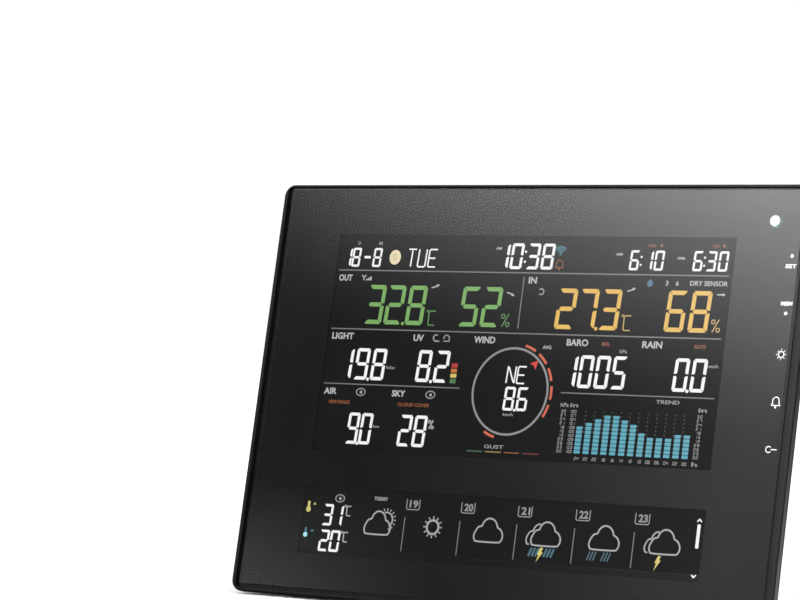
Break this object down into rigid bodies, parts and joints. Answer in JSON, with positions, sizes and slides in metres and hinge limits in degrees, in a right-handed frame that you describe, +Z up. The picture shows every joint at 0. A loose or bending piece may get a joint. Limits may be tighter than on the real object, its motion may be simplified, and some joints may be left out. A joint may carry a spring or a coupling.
{
  "type": "home weather station",
  "caption": "Desk weather station console: wide black lens over a colour segment display, tapered rear cover with fold-out stand, battery door and rear push keys.",
  "frame": {"origin": "centre of the bounding box's footprint, on the table", "axes": "+X to the right as seen from the front, -Y out of the display, +Z up; the panel leans back about 13 degrees"},
  "size_m": [0.203, 0.0706, 0.137],
  "materials": {
    "lens_acrylic": "polished",
    "black_print": "smooth printed film",
    "clear_tape": "tacky",
    "casing_plastic": "semi-gloss",
    "cover_plastic": "fine spark-eroded texture",
    "polariser_film": "satin film",
    "lcd_glass": "polished",
    "diffuser_film": "frosted",
    "guide_acrylic": "polished with etched dots",
    "white_plastic": "satin",
    "circuit_board": "solder mask",
    "flat_cable": "film",
    "chip_black": "moulded epoxy",
    "shield_steel": "tinned",
    "enamel_wire": "insulated",
    "socket_plastic": "moulded",
    "cell_steel": "plated",
    "contact_steel": "nickel plated",
    "screw_steel": "zinc plated, black",
    "key_rubber": "matt",
    "foot_rubber": "matt"
  },
  "bodies": {
    "console": {"front_lens": "lens_acrylic", "mask_film": "black_print", "lens_tape": "clear_tape", "front_casing": "casing_plastic", "rear_cover": "cover_plastic", "front_polariser": "polariser_film", "lcd_cell": "lcd_glass", "rear_polariser": "polariser_film", "diffuser_sheet": "diffuser_film", "light_guide": "guide_acrylic", "reflector_sheet": "diffuser_film", "led_strip": "circuit_board", "lcd_holder": "white_plastic", "lcd_ribbon": "flat_cable", "main_board": "circuit_board", "main_chip": "chip_black", "wifi_module": "shield_steel", "radio_module": "shield_steel", "antenna_wire": "enamel_wire", "buzzer": "chip_black", "pressure_sensor": "contact_steel", "ribbon_socket": "socket_plastic", "tact_switches": "contact_steel", "touch_board": "circuit_board", "touch_ribbon": "flat_cable", "light_sensor": "chip_black", "indoor_sensor_board": "circuit_board", "power_jack": "chip_black", "coin_cell": "cell_steel", "minus_contact": "contact_steel", "plus_contact": "contact_steel", "case_screws": "screw_steel", "holder_screws": "screw_steel", "board_screws": "screw_steel", "foot_pads": "foot_rubber"},
    "stand": {"table_stand": "cover_plastic"},
    "battery_door_body": {"battery_door": "cover_plastic"},
    "reset_key_body": {"reset_key": "key_rubber"},
    "pairing_key_body": {"pairing_key": "key_rubber"}
  },
  "joints": [
    {"name": "stand_fold", "type": "hinge", "parent": "console", "child": "stand", "pos_m": [0, 0.00132, 0.05624], "axis": [-1, 0, 0], "range_deg": [0, 52.03]},
    {"name": "battery_door_open", "type": "hinge", "parent": "console", "child": "battery_door_body", "pos_m": [0.052, 0.00716, 0.06616], "axis": [-1, 0, 0], "range_deg": [0, 75]},
    {"name": "reset_key_push", "type": "slide", "parent": "console", "child": "reset_key_body", "axis": [0, -0.9732, 0.23], "range_m": [0, 0.0008], "stiffness_N_per_m": 1500, "springref_m": -0.0002},
    {"name": "pairing_key_push", "type": "slide", "parent": "console", "child": "pairing_key_body", "axis": [0, -0.9732, 0.23], "range_m": [0, 0.0008], "stiffness_N_per_m": 1500, "springref_m": -0.0002}
  ]
}
